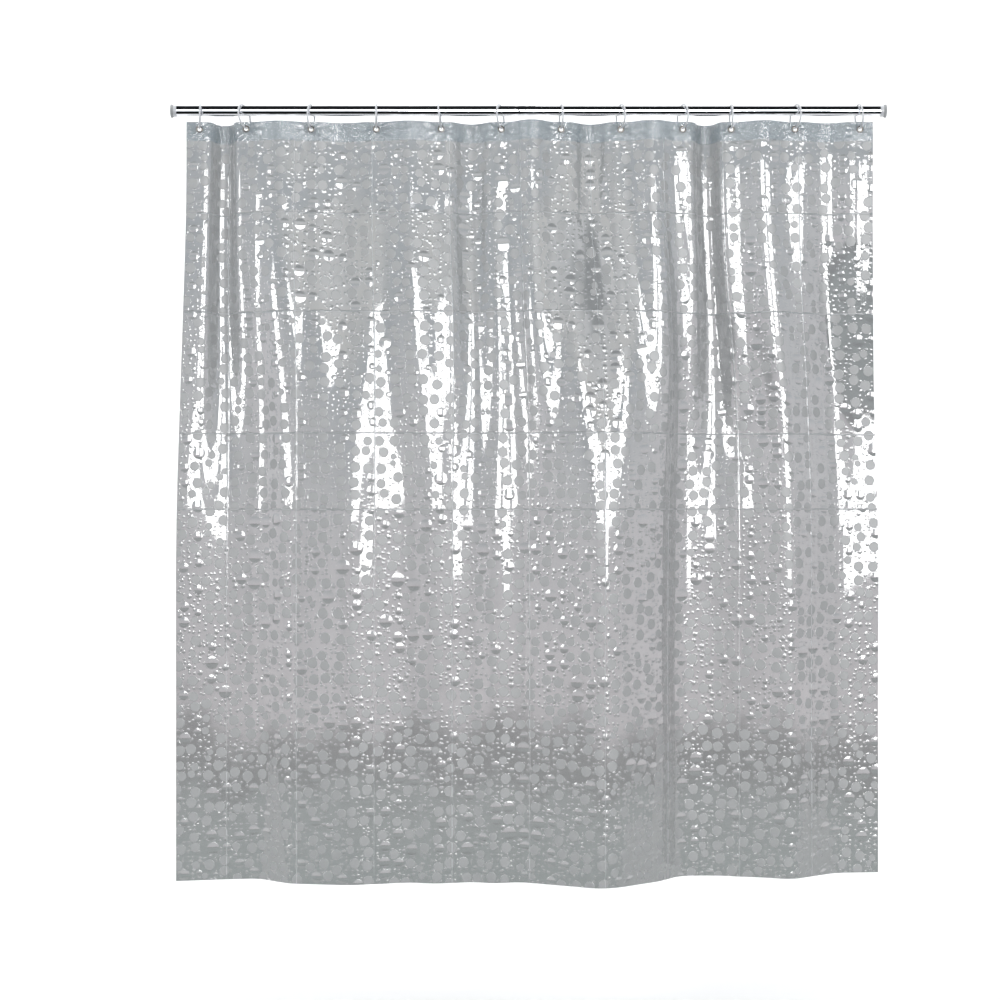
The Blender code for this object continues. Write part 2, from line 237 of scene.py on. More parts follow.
def film_mesh(name, rows, out, with_relief):
    """One layer of film as a grid laid on the hanging shape, with its eyelet holes."""
    columns = film_columns()
    spots = np.zeros((len(rows), len(columns), 3))
    for row, v in enumerate(rows):
        spots[row, :, 0], spots[row, :, 1] = film_row(v, columns)
        spots[row, :, 2] = SHEET_TOP_Z - v
    down, along = np.gradient(spots, axis=0), np.gradient(spots, axis=1)
    out_way = np.cross(along, -down)
    out_way /= np.linalg.norm(out_way, axis=2, keepdims=True)
    out_way *= np.where(out_way[..., 1:2] > 0, -1.0, 1.0)
    lift = np.full(spots.shape[:2], out)
    if with_relief:
        lift += relief(columns[None, :], rows[:, None])
    spots += out_way * lift[..., None]
    flat_u, flat_v = np.meshgrid(columns, rows)

    keep = np.ones((len(rows) - 1, len(columns) - 1), bool)
    for eyelet in EYELETS:
        gap = np.hypot(spots[..., 0] - eyelet.x, spots[..., 2] - eyelet.z)
        inside = gap < FILM_HOLE_R
        gone = inside[:-1, :-1] & inside[1:, :-1] & inside[:-1, 1:] & inside[1:, 1:]
        keep &= ~gone
        push = inside & (gap > 0.0005)
        spots[push, 0] = eyelet.x + (spots[push, 0] - eyelet.x) * FILM_HOLE_R / gap[push]
        spots[push, 2] = eyelet.z + (spots[push, 2] - eyelet.z) * FILM_HOLE_R / gap[push]

    number = np.arange(spots.shape[0] * spots.shape[1]).reshape(spots.shape[:2])
    quads = np.stack(
        [number[:-1, :-1], number[1:, :-1], number[1:, 1:], number[:-1, 1:]], axis=-1
    )[keep]
    mesh = bpy.data.meshes.new(name)
    mesh.from_pydata(spots.reshape(-1, 3).tolist(), [], quads.tolist())
    flat = mesh.uv_layers.new(name="flat")
    corner = np.array([loop.vertex_index for loop in mesh.loops])
    uv = np.stack([flat_u.ravel()[corner], SHEET_HEIGHT - flat_v.ravel()[corner]], axis=-1)
    flat.data.foreach_set("uv", (uv / SHEET_WIDTH).ravel())
    work = bmesh.new()
    work.from_mesh(mesh)
    bmesh.ops.delete(work, geom=[v for v in work.verts if not v.link_faces], context="VERTS")
    work.to_mesh(mesh)
    work.free()
    mesh.polygons.foreach_set("use_smooth", [True] * len(mesh.polygons))
    made = bpy.data.objects.new(name, mesh)
    bpy.context.scene.collection.objects.link(made)
    return made


# ---------------------------------------------------------------- modelling helpers

def deselect():
    if bpy.context.object and bpy.context.object.mode != "OBJECT":
        bpy.ops.object.mode_set(mode="OBJECT")
    bpy.ops.object.select_all(action="DESELECT")


def spun(name, outline, centre, axis, steps, closed=True):
    """Spins an outline of (distance along the axis, radius) right round the axis."""
    deselect()
    bpy.ops.mesh.primitive_circle_add(vertices=len(outline), radius=1.0)
    made = bpy.context.object
    made.name = made.data.name = name
    for vertex, (distance, radius) in zip(made.data.vertices, outline):
        vertex.co = (distance, 0.0, radius) if axis == "X" else (0.0, distance, radius)
    bpy.ops.object.mode_set(mode="EDIT")
    if not closed:
        last = len(outline) - 1
        bpy.ops.mesh.select_mode(type="EDGE")
        bpy.ops.mesh.select_all(action="DESELECT")
        bpy.ops.object.mode_set(mode="OBJECT")
        for edge in made.data.edges:
            edge.select = set(edge.vertices) == {0, last}
        bpy.ops.object.mode_set(mode="EDIT")
        bpy.ops.mesh.delete(type="EDGE")
    bpy.ops.mesh.select_all(action="SELECT")
    way = (1, 0, 0) if axis == "X" else (0, 1, 0)
    bpy.ops.mesh.spin(steps=steps, angle=math.tau, center=(0, 0, 0), axis=way)
    bpy.ops.mesh.select_all(action="SELECT")
    bpy.ops.mesh.remove_doubles(threshold=0.000005)
    bpy.ops.mesh.normals_make_consistent(inside=False)
    bpy.ops.object.mode_set(mode="OBJECT")
    made.data.transform(Matrix.Translation(centre))
    bpy.ops.object.shade_smooth_by_angle(angle=math.radians(35))
    return made


def finish_piece(piece, body, nodes, material):
    piece.data.materials.clear()
    piece.data.materials.append(material)
    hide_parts(*nodes)
    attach(piece, body)
    return piece


# ---------------------------------------------------------------- materials

def linear(code):
    """A hex sRGB colour as linear numbers with alpha."""
    parts = [int(code[n : n + 2], 16) / 255 for n in (0, 2, 4)]
    return (*[c / 12.92 if c <= 0.04045 else ((c + 0.055) / 1.055) ** 2.4 for c in parts], 1.0)


def new_material(name):
    made = bpy.data.materials.new(name)
    made.use_nodes = True
    tree = made.node_tree
    return made, tree, tree.nodes["Principled BSDF"]


def node(tree, kind, links=None, **settings):
    """Adds a node. Settings name its properties or its sockets, and links feed sockets."""
    made = tree.nodes.new(kind)
    for name, value in settings.items():
        if hasattr(made, name):
            setattr(made, name, value)
        else:
            made.inputs[name.replace("_", " ").title()].default_value = value
    for socket, source in (links or {}).items():
        if isinstance(source, (int, float, tuple)):
            made.inputs[socket].default_value = source
        else:
            tree.links.new(source, made.inputs[socket])
    return made


def maths(tree, operation, *values, clamp=False):
    return node(
        tree, "ShaderNodeMath", dict(enumerate(values)), operation=operation, use_clamp=clamp
    ).outputs[0]


def blended(tree, share, low, high):
    """A number that goes from low to high with share."""
    return node(
        tree, "ShaderNodeMapRange",
        {"Value": share, "From Min": 0.0, "From Max": 1.0, "To Min": low, "To Max": high},
    ).outputs["Result"]


def soft_step(tree, value, start, end):
    """0 before start and 1 after end, eased; start may be the larger."""
    if not isinstance(start, float) or start < end:
        return node(
            tree, "ShaderNodeMapRange",
            {"Value": value, "From Min": start, "From Max": end, "To Min": 0.0, "To Max": 1.0},
            interpolation_type="SMOOTHSTEP",
        ).outputs["Result"]
    return node(
        tree, "ShaderNodeMapRange",
        {"Value": value, "From Min": end, "From Max": start, "To Min": 1.0, "To Max": 0.0},
        interpolation_type="SMOOTHSTEP",
    ).outputs["Result"]


def bubbles(tree, place, pitch, kinds, evenness=0.85):
    """Round marks that never overlap, each kind as (share of all up to here, radius).

    Gives distance over radius, and a random number for each mark.
    """
    common = {"Vector": place, "Scale": 1.0 / pitch, "Randomness": evenness}
    near = node(tree, "ShaderNodeTexVoronoi", common, voronoi_dimensions="2D", feature="F1")
    room = node(
        tree, "ShaderNodeTexVoronoi", common, voronoi_dimensions="2D", feature="N_SPHERE_RADIUS"
    )
    chance = node(
        tree, "ShaderNodeSeparateColor", {"Color": near.outputs["Color"]}
    ).outputs["Red"]
    most = kinds[-1][1] / pitch
    for upto, radius in reversed(kinds[:-1]):
        most = blended(tree, maths(tree, "LESS_THAN", chance, upto), most, radius / pitch)
    radius = maths(tree, "MINIMUM", maths(tree, "MULTIPLY", room.outputs["Radius"], 0.96), most)
    share = maths(tree, "DIVIDE", near.outputs["Distance"], radius)
    return share, chance


def dome(tree, share):
    """The height of a round blister from 1 in the middle to 0 at its rim."""
    square = maths(tree, "MULTIPLY", share, share)
    return maths(tree, "SUBTRACT", 1.0, square, clamp=True)


def puckers(tree, place, spokes, reach):
    """Folds that run out from every eyelet, from -1 to 1, and gone past reach."""
    split = node(tree, "ShaderNodeSeparateXYZ", {"Vector": place})
    bay = maths(tree, "DIVIDE", maths(tree, "SUBTRACT", split.outputs["X"], SIDE_MARGIN), PITCH)
    beside = maths(tree, "SUBTRACT", bay, maths(tree, "ROUND", bay))
    beside = maths(tree, "MULTIPLY", beside, PITCH)
    below = maths(tree, "SUBTRACT", split.outputs["Y"], SHEET_HEIGHT - EYELET_DROP)
    away = maths(tree, "SQRT", maths(
        tree, "ADD", maths(tree, "MULTIPLY", beside, beside), maths(tree, "MULTIPLY", below, below)
    ))
    turn = maths(tree, "ARCTAN2", below, beside)
    uneven = node(tree, "ShaderNodeTexNoise", {"Vector": place, "Scale": 14.0, "Detail": 2.0})
    turn = maths(
        tree, "MULTIPLY_ADD", uneven.outputs["Fac"], 5.0, maths(tree, "MULTIPLY", turn, spokes)
    )
    fade = soft_step(tree, away, reach, 0.006)
    return maths(tree, "MULTIPLY", maths(tree, "SINE", turn), fade)


def crease_lines(tree, split):
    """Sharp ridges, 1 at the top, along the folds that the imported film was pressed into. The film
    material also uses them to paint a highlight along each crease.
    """
    step = CREASES_DOWN[1] - CREASES_DOWN[0]
    along = maths(
        tree, "DIVIDE", maths(tree, "SUBTRACT", split.outputs["X"], CREASES_DOWN[0]), step
    )
    off = maths(tree, "ABSOLUTE", maths(tree, "SUBTRACT", along, maths(tree, "ROUND", along)))
    nearest = maths(tree, "MULTIPLY", off, step)
    for crease in CREASES_ACROSS:
        off = maths(tree, "SUBTRACT", split.outputs["Y"], SHEET_HEIGHT - crease)
        nearest = maths(tree, "MINIMUM", nearest, maths(tree, "ABSOLUTE", off))
    return soft_step(tree, nearest, 0.0022, 0.0002)


def film_material():
    """Clear soft film, pressed with frosted discs and blisters like rising bubbles.

    The calendered film is glossy, the discs are matt from the embossing roll, and the
    blisters are pressed up from the back.
    """
    made, tree, shader = new_material("bubble_embossed_film")
    flat = node(tree, "ShaderNodeUVMap", uv_map="flat").outputs["UV"]
    place = node(
        tree, "ShaderNodeVectorMath", {0: flat, "Scale": SHEET_WIDTH}, operation="SCALE"
    ).outputs["Vector"]
    split = node(tree, "ShaderNodeSeparateXYZ", {"Vector": place})
    high = split.outputs["Y"]

    # Discs 25 mm across and blisters up to 40 mm, then 12 mm and 8 mm blisters in the room left.
    big, big_kind = bubbles(
        tree, place, 0.0335, [(0.74, 0.0125), (1.0, 0.0195)], 0.65
    )
    shifted = node(tree, "ShaderNodeVectorMath", {0: place, 1: (3.1, 1.7, 0.0)}, operation="ADD")
    small, _ = bubbles(
        tree, shifted.outputs["Vector"], 0.0215, [(0.62, 0.0001), (1.0, 0.0062)]
    )
    moved = node(tree, "ShaderNodeVectorMath", {0: place, 1: (7.3, 5.9, 0.0)}, operation="ADD")
    tiny, _ = bubbles(
        tree, moved.outputs["Vector"], 0.0125, [(0.25, 0.0001), (1.0, 0.0040)], 0.7
    )

    in_big = soft_step(tree, big, 1.0, 0.93)
    off_big = soft_step(tree, big, 1.03, 1.16)
    in_small = maths(tree, "MULTIPLY", soft_step(tree, small, 1.0, 0.86), off_big)
    off_small = soft_step(tree, small, 1.10, 1.50)
    in_tiny = maths(tree, "MULTIPLY", soft_step(tree, tiny, 1.0, 0.80), off_big)
    in_tiny = maths(tree, "MULTIPLY", in_tiny, off_small)
    frosted = maths(tree, "MULTIPLY", in_big, maths(tree, "LESS_THAN", big_kind, 0.74))
    raised = maths(tree, "SUBTRACT", in_big, frosted)

    grain = node(
        tree, "ShaderNodeTexNoise",
        {"Vector": place, "Scale": 900.0, "Detail": 3.0, "Roughness": 0.6},
    ).outputs["Fac"]
    drawn = node(tree, "ShaderNodeMapping", {"Vector": place, "Scale": (1.0, 0.10, 1.0)})
    waves = node(
        tree, "ShaderNodeTexNoise",
        {"Vector": drawn.outputs["Vector"], "Scale": 16.0, "Detail": 3.0, "Roughness": 0.5},
    ).outputs["Fac"]
    ripple = node(
        tree, "ShaderNodeTexNoise",
        {"Vector": place, "Scale": 60.0, "Detail": 2.0, "Roughness": 0.5},
    ).outputs["Fac"]

    creases = crease_lines(tree, split)

    # Heights in metres.
    blister = maths(
        tree, "MULTIPLY", maths(tree, "MULTIPLY", raised, dome(tree, big)), BIG_BLISTER_HIGH
    )
    small_dome = maths(
        tree, "MULTIPLY", maths(tree, "MULTIPLY", in_small, dome(tree, small)),
        SMALL_BLISTER_HIGH,
    )
    tiny_dome = maths(
        tree, "MULTIPLY", maths(tree, "MULTIPLY", in_tiny, dome(tree, tiny)),
        TINY_BLISTER_HIGH,
    )
    height = maths(tree, "ADD", blister, small_dome)
    height = maths(tree, "ADD", height, tiny_dome)
    height = maths(tree, "MULTIPLY_ADD", frosted, DISC_HIGH, height)
    height = maths(tree, "MULTIPLY_ADD", waves, 0.0007, height)
    height = maths(tree, "MULTIPLY_ADD", ripple, 0.00003, height)
    height = maths(tree, "MULTIPLY_ADD", creases, 0.0005, height)
    height = maths(tree, "MULTIPLY_ADD", puckers(tree, place, 9.0, 0.070), 0.0005, height)
    frost_grain = maths(tree, "MULTIPLY", maths(tree, "MULTIPLY", frosted, grain), 0.00006)
    height = maths(tree, "ADD", height, frost_grain)
    bump = node(tree, "ShaderNodeBump", {"Height": height, "Strength": 1.0, "Distance": 1.0})
    tree.links.new(bump.outputs["Normal"], shader.inputs["Normal"])

    # Painted view through the film: its grey tint stands in for the surroundings seen through it.
    # It is lighter and a little brown in the lower half and a darker blue-grey near the top.
    clear = node(
        tree, "ShaderNodeValToRGB", {"Fac": maths(tree, "DIVIDE", high, SHEET_HEIGHT)}
    )
    ramp = clear.color_ramp
    ramp.elements[0].position, ramp.elements[0].color = 0.0, linear("535b59")
    ramp.elements[1].position, ramp.elements[1].color = 1.0, linear("434c50")
    for spot, code in ((0.2, "565657"), (0.5, "585a5c"), (0.8, "4a5256")):
        step = ramp.elements.new(spot)
        step.color = linear(code)
    cloudy = node(
        tree, "ShaderNodeTexNoise", {"Vector": place, "Scale": 3.5, "Detail": 4.0}
    ).outputs["Fac"]
    tinted = mix_colour(
        tree, blended(tree, cloudy, 0.0, 0.4), clear.outputs["Color"], linear("484d50")
    )
    tinted = mix_colour(tree, maths(tree, "MULTIPLY", frosted, 0.8), tinted, linear("3c4143"))
    # Painted highlight: the film colour is lighter along the crease lines, as if their ridges
    # caught the light.
    tinted = mix_colour(tree, maths(tree, "MULTIPLY", creases, 0.25), tinted, linear("a2a7a9"))
    tree.links.new(tinted, shader.inputs["Base Color"])
    rough = blended(tree, frosted, 0.03, 0.50)
    rough = maths(tree, "MULTIPLY_ADD", grain, 0.03, rough)
    tree.links.new(rough, shader.inputs["Roughness"])
    shader.inputs["IOR"].default_value = 1.5
    shader.inputs["Alpha"].default_value = 0.84
    shader.inputs["Specular IOR Level"].default_value = 1.0
    return made


def mix_colour(tree, share, low, high):
    made = tree.nodes.new("ShaderNodeMix")
    made.data_type = "RGBA"
    for socket, value in ((made.inputs[0], share), (made.inputs[6], low), (made.inputs[7], high)):
        if isinstance(value, (int, float, tuple)):
            socket.default_value = value
        else:
            tree.links.new(value, socket)
    return made.outputs[2]


def header_material():
    """The plain strip welded along the top: smooth clear film, a little bluer where doubled."""
    made, tree, shader = new_material("welded_header_film")
    flat = node(tree, "ShaderNodeUVMap", uv_map="flat").outputs["UV"]
    place = node(
        tree, "ShaderNodeVectorMath", {0: flat, "Scale": SHEET_WIDTH}, operation="SCALE"
    ).outputs["Vector"]
    waves = node(
        tree, "ShaderNodeTexNoise",
        {"Vector": place, "Scale": 110.0, "Detail": 3.0, "Roughness": 0.5, "Distortion": 1.5},
    ).outputs["Fac"]
    cloudy = node(
        tree, "ShaderNodeTexNoise", {"Vector": place, "Scale": 9.0, "Detail": 4.0}
    ).outputs["Fac"]
    height = maths(tree, "MULTIPLY", waves, 0.0017)
    height = maths(tree, "MULTIPLY_ADD", puckers(tree, place, 11.0, 0.060), 0.0006, height)
    bump = node(tree, "ShaderNodeBump", {"Height": height, "Strength": 1.0, "Distance": 1.0})
    tree.links.new(bump.outputs["Normal"], shader.inputs["Normal"])
    tree.links.new(
        mix_colour(tree, cloudy, linear("7c8a93"), linear("93a5ae")), shader.inputs["Base Color"]
    )
    tree.links.new(blended(tree, cloudy, 0.08, 0.20), shader.inputs["Roughness"])
    shader.inputs["IOR"].default_value = 1.5
    shader.inputs["Alpha"].default_value = 0.5
    shader.inputs["Specular IOR Level"].default_value = 1.0
    return made


def chrome_material():
    """Polished chrome plate: nearly a mirror, with faint draw lines along the tube."""
    made, tree, shader = new_material("polished_chrome_plate")
    place = node(tree, "ShaderNodeTexCoord").outputs["Object"]
    drawn = node(
        tree, "ShaderNodeMapping", {"Vector": place, "Scale": (3.0, 900.0, 900.0)}
    ).outputs["Vector"]
    lines = node(
        tree, "ShaderNodeTexNoise", {"Vector": drawn, "Scale": 1.0, "Detail": 3.0}
    ).outputs["Fac"]
    spots = node(
        tree, "ShaderNodeTexNoise", {"Vector": place, "Scale": 40.0, "Detail": 5.0}
    ).outputs["Fac"]
    tree.links.new(blended(tree, spots, 0.04, 0.11), shader.inputs["Roughness"])
    tree.links.new(
        mix_colour(tree, spots, linear("d8dadd"), linear("e6e7e9")), shader.inputs["Base Color"]
    )
    bump = node(tree, "ShaderNodeBump", {"Height": lines, "Strength": 0.04, "Distance": 0.0002})
    tree.links.new(bump.outputs["Normal"], shader.inputs["Normal"])
    shader.inputs["Metallic"].default_value = 1.0
    return made


def nickel_material():
    """Pressed brass eyelets, bright nickel plated, with fine press marks. Their base colour is
    painted shade, far darker than nickel, so that the eyelets read dark.
    """
    made, tree, shader = new_material("nickel_plated_eyelet")
    place = node(tree, "ShaderNodeTexCoord").outputs["Object"]
    marks = node(
        tree, "ShaderNodeTexNoise", {"Vector": place, "Scale": 700.0, "Detail": 4.0}
    ).outputs["Fac"]
    tree.links.new(blended(tree, marks, 0.10, 0.22), shader.inputs["Roughness"])
    # Painted shade: these base colours are far darker than bright nickel and stand in for the dark
    # surroundings mirrored in the eyelets.
    tree.links.new(
        mix_colour(tree, marks, linear("46433f"), linear("65615c")), shader.inputs["Base Color"]
    )
    bump = node(tree, "ShaderNodeBump", {"Height": marks, "Strength": 0.15, "Distance": 0.0001})
    tree.links.new(bump.outputs["Normal"], shader.inputs["Normal"])
    shader.inputs["Metallic"].default_value = 1.0
    return made


def ring_plastic_material():
    """Injection moulded white plastic: glossy, slightly waxy, with faint flow marks."""
    made, tree, shader = new_material("white_moulded_ring_plastic")
    place = node(tree, "ShaderNodeTexCoord").outputs["Object"]
    flow = node(
        tree, "ShaderNodeTexNoise", {"Vector": place, "Scale": 120.0, "Detail": 4.0}
    ).outputs["Fac"]
    tree.links.new(blended(tree, flow, 0.22, 0.36), shader.inputs["Roughness"])
    tree.links.new(
        mix_colour(tree, flow, linear("bbbdc1"), linear("c9cbce")), shader.inputs["Base Color"]
    )
    bump = node(tree, "ShaderNodeBump", {"Height": flow, "Strength": 0.12, "Distance": 0.0002})
    tree.links.new(bump.outputs["Normal"], shader.inputs["Normal"])
    shader.inputs["IOR"].default_value = 1.5
    return made


def rubber_material():
    """Grey moulded rubber that grips the wall: matt, with a fine sandy grain."""
    made, tree, shader = new_material("grey_grip_rubber")
    place = node(tree, "ShaderNodeTexCoord").outputs["Object"]
    grain = node(
        tree, "ShaderNodeTexNoise", {"Vector": place, "Scale": 1400.0, "Detail": 3.0}
    ).outputs["Fac"]
    tree.links.new(blended(tree, grain, 0.65, 0.85), shader.inputs["Roughness"])
    tree.links.new(
        mix_colour(tree, grain, linear("8d8f90"), linear("a2a4a5")), shader.inputs["Base Color"]
    )
    bump = node(tree, "ShaderNodeBump", {"Height": grain, "Strength": 0.3, "Distance": 0.0002})
    tree.links.new(bump.outputs["Normal"], shader.inputs["Normal"])
    shader.inputs["IOR"].default_value = 1.52
    return made


def spring_material():
    """Bare drawn spring wire, dark from its heat treatment."""
    made, tree, shader = new_material("drawn_spring_wire")
    place = node(tree, "ShaderNodeTexCoord").outputs["Object"]
    scale = node(
        tree, "ShaderNodeTexNoise", {"Vector": place, "Scale": 300.0, "Detail": 4.0}
    ).outputs["Fac"]
    tree.links.new(blended(tree, scale, 0.30, 0.5), shader.inputs["Roughness"])
    tree.links.new(
        mix_colour(tree, scale, linear("6f7173"), linear("8b8d8f")), shader.inputs["Base Color"]
    )
    shader.inputs["Metallic"].default_value = 1.0
    return made


def matt_material(name, code, change):
    made, tree, shader = new_material(name)
    place = node(tree, "ShaderNodeTexCoord").outputs["Object"]
    soft = node(
        tree, "ShaderNodeTexNoise", {"Vector": place, "Scale": 2.0, "Detail": 3.0}
    ).outputs["Fac"]
    tree.links.new(
        mix_colour(tree, blended(tree, soft, 0.0, change), linear(code), linear("ffffff")),
        shader.inputs["Base Color"],
    )
    shader.inputs["Roughness"].default_value = 0.9
    return made


# ---------------------------------------------------------------- pieces

def build_film():
    film = film_material()
    header = header_material()
    band_rows = stops([(BAND_HEIGHT, 18)])
    rows = stops([(BAND_HEIGHT, 18), (SHEET_HEIGHT, 262)])
    sheet = film_mesh("bubble_film_sheet", rows, 0.0, True)
    band = film_mesh("welded_header_strip", band_rows, BAND_OUT, False)
    finish_piece(sheet, "curtain", ["curtain_sheet"], film)
    finish_piece(band, "curtain", ["header_band"], header)
    for piece in (sheet, band):
        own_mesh(piece)
    return sheet, band


def build_ring(index, plastic):
    """A moulded ring, split behind the rod, with a snap collar on each end."""
    number = f"{index + 1:02d}"
    deselect()
    bpy.ops.mesh.primitive_torus_add(
        major_segments=120, minor_segments=14, major_radius=RING_R, minor_radius=WIRE_R
    )
    ring = bpy.context.object
    ring.name = ring.data.name = f"moulded_ring_{number}"
    # The faces are picked before the first edit, so the picking has to be by face already.
    bpy.context.tool_settings.mesh_select_mode = (False, False, True)
    split = math.radians(SPLIT_AT)

    def off_split(point):
        angle = math.atan2(point.y, point.x)
        return abs((angle - split + math.pi) % math.tau - math.pi)

    for face in ring.data.polygons:
        face.select = off_split(face.center) < math.radians(SPLIT_ANGLE / 2)
    bpy.ops.object.mode_set(mode="EDIT")
    bpy.ops.mesh.select_mode(type="FACE")
    bpy.ops.mesh.delete(type="FACE")
    bpy.ops.mesh.select_all(action="SELECT")
    bpy.ops.mesh.fill_holes(sides=0)
    bpy.ops.mesh.select_all(action="DESELECT")
    bpy.ops.object.mode_set(mode="OBJECT")
    for face in ring.data.polygons:
        face.select = off_split(face.center) < math.radians(SPLIT_ANGLE / 2 + COLLAR_ANGLE)
    bpy.ops.object.mode_set(mode="EDIT")
    bpy.ops.mesh.extrude_region_shrink_fatten(TRANSFORM_OT_shrink_fatten={"value": 0.0006})
    bpy.ops.mesh.select_all(action="SELECT")
    bpy.ops.mesh.normals_make_consistent(inside=False)
    bpy.ops.object.mode_set(mode="OBJECT")
    soften = ring.modifiers.new("moulded edges", "BEVEL")
    soften.width = 0.0003
    soften.segments = 2
    soften.limit_method = "ANGLE"
    soften.angle_limit = math.radians(50)
    bpy.ops.object.modifier_apply(modifier=soften.name)
    bpy.ops.object.shade_smooth_by_angle(angle=math.radians(45))

    stand = Matrix(((0, 0, 1, 0), (1, 0, 0, 0), (0, 1, 0, RING_R), (0, 0, 0, 1)))
    lean = Matrix.Rotation(math.radians(RING_LEAN[index]), 4, "Y")
    yaw = Matrix.Rotation(math.radians(RING_YAW[index]), 4, "Z")
    low = Vector((EYELETS[index].x, 0.0, EYELETS[index].z + WIRE_ABOVE_EYELET))
    ring.data.transform(Matrix.Translation(low) @ lean @ yaw @ stand)
    return finish_piece(ring, f"hanger_{number}", [f"ring_{number}"], plastic)


def build_eyelet(index, nickel):
    """A rolled eyelet pressed through the film from the front, and its washer."""
    number = f"{index + 1:02d}"
    body = f"runner_{number}" if index else "curtain"
    centre = Vector((EYELETS[index].x, 0.0, EYELETS[index].z))
    face, lip = -0.0009, 0.0013
    rolled = (
        (face, 0.0054), (face, 0.0078), (face - 0.0002, 0.0080), (face - 0.0006, 0.0079),
        (face - 0.0009, 0.0074), (face - 0.0010, 0.0068), (face - 0.0010, 0.0061),
        (face - 0.0008, 0.0055), (face - 0.0004, 0.0050), (face + 0.0002, 0.0048),
        (lip - 0.0002, 0.0048), (lip + 0.0002, 0.0050), (lip + 0.0005, 0.0054),
        (lip + 0.0006, 0.0059), (lip + 0.0004, 0.0064), (lip, 0.0066), (lip, 0.0054),
    )
    eyelet = spun(f"rolled_eyelet_{number}", rolled, centre, "Y", 48)
    finish_piece(eyelet, body, [f"eyelet_{number}"], nickel)
    flat = (
        (0.0004, 0.0059), (0.0004, 0.0079), (0.00045, 0.0080), (0.00085, 0.0080),
        (0.0010, 0.0078), (0.0010, 0.0059),
    )
    washer = spun(f"eyelet_backing_{number}", flat, centre, "Y", 48)
    finish_piece(washer, body, [f"eyelet_washer_{number}"], nickel)


def tube_outline(length, outer, bore, grooves=()):
    """A tube's section: rounded ends, and grooves rolled into it as (place, width, depth)."""
    line = [(0.0, bore + 0.0001), (0.0, outer - 0.0002), (0.0002, outer)]
    for place, width, depth in grooves:
        for step in range(9):
            part = step / 8
            sunk = depth * math.sin(math.pi * part) ** 2
            line.append((place + width * (part - 0.5), outer - sunk))
    line += [(length - 0.0002, outer), (length, outer - 0.0002), (length, bore + 0.0001)]
    return line + [(length - 0.0001, bore), (0.0001, bore)]


def dent_crimps(tube, places, radius):
    """Leaves the uneven dents of a crimping tool round the bottom of each groove."""
    for vertex in tube.data.vertices:
        reach = math.hypot(vertex.co.y, vertex.co.z)
        for number, place in enumerate(places):
            off = abs(vertex.co.x - place) / 0.0065
            if off < 1 and reach > radius - 0.0012:
                turn = math.atan2(vertex.co.z, vertex.co.y)
                dent = 0.5 + 0.5 * math.sin(11 * turn + 1.7 * number + 260 * (vertex.co.x - place))
                sunk = 0.0010 * dent * math.cos(math.pi / 2 * off) ** 2
                vertex.co.y *= 1 - sunk / reach
                vertex.co.z *= 1 - sunk / reach


def build_rod(chrome, plastic, rubber, spring):
    low, high = (Vector(corner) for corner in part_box("outer_tube"))
    radius = high.z
    length = high.x - low.x
    grooves = [(length - 0.036, 0.013, 0.0006), (length - 0.012, 0.015, 0.0006)]
    outline = tube_outline(length, radius, radius - 0.0005, grooves)
    outer = spun("outer_chrome_tube", outline, Vector((low.x, 0, 0)), "X", 96)
    dent_crimps(outer, [low.x + place for place, _, _ in grooves], radius)
    finish_piece(outer, "rod", ["outer_tube"], chrome)

    low, high = (Vector(corner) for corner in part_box("tube_bush"))
    outline = tube_outline(high.x - low.x, radius, radius - 0.0005)
    bush = spun("rolled_tube_mouth", outline, Vector((low.x, 0, 0)), "X", 96)
    finish_piece(bush, "rod", ["tube_bush"], chrome)

    low, high = (Vector(corner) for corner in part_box("inner_tube"))
    outline = tube_outline(high.x - low.x, high.z, high.z - 0.0005)
    inner = spun("inner_chrome_tube", outline, Vector((low.x, 0, 0)), "X", 96)
    finish_piece(inner, "rod_extension", ["inner_tube"], chrome)

    for side, body in (("left", "rod"), ("right", "rod_extension")):
        build_end(side, body, plastic, rubber)
    build_spring(spring)
    for name in ("spring_seat", "inner_tube_stop"):
        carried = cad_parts[name]
        carried.data.materials.clear()
        carried.data.materials.append(plastic)


def build_spring(wire_finish):
    """The pressure spring: a round wire swept into an open coil with two closed end turns."""
    low, high = (Vector(corner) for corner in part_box("pressure_spring"))
    deselect()
    bpy.ops.mesh.primitive_circle_add(vertices=12, radius=SPRING_WIRE_R)
    wire = bpy.context.object
    wire.name = wire.data.name = "coiled_pressure_spring"
    for vertex in wire.data.vertices:
        vertex.co = (vertex.co.x, 0.0, vertex.co.y + high.z - SPRING_WIRE_R)
    coil = wire.modifiers.new("coil", "SCREW")
    coil.axis = "X"
    coil.angle = math.tau
    coil.iterations = SPRING_TURNS
    coil.steps = coil.render_steps = 28
    coil.screw_offset = 1.0
    bpy.ops.object.modifier_apply(modifier=coil.name)
    reach = max(vertex.co.x for vertex in wire.data.vertices)
    length = high.x - low.x - 2 * SPRING_WIRE_R
    for vertex in wire.data.vertices:
        turn = min(max(round(vertex.co.x / reach * SPRING_TURNS * 28) / 28, 0.0), SPRING_TURNS)
        section = vertex.co.x - reach * turn / SPRING_TURNS
        closed = 2.4 * SPRING_WIRE_R
        middle = (length - 2 * closed) / (SPRING_TURNS - 2)
        along = closed * min(turn, 1.0) + middle * min(max(turn - 1.0, 0.0), SPRING_TURNS - 2)
        along += closed * max(turn - SPRING_TURNS + 1, 0.0)
        vertex.co.x = SPRING_WIRE_R + along + section
    bpy.ops.object.mode_set(mode="EDIT")
    bpy.ops.mesh.select_all(action="SELECT")
    bpy.ops.mesh.fill_holes(sides=0)
    bpy.ops.mesh.select_all(action="SELECT")
    bpy.ops.mesh.normals_make_consistent(inside=False)
    bpy.ops.object.mode_set(mode="OBJECT")
    wire.data.transform(Matrix.Translation((low.x, 0, 0)))
    bpy.ops.object.shade_smooth_by_angle(angle=math.radians(50))
    finish_piece(wire, "rod", ["pressure_spring"], wire_finish)
    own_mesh(wire)


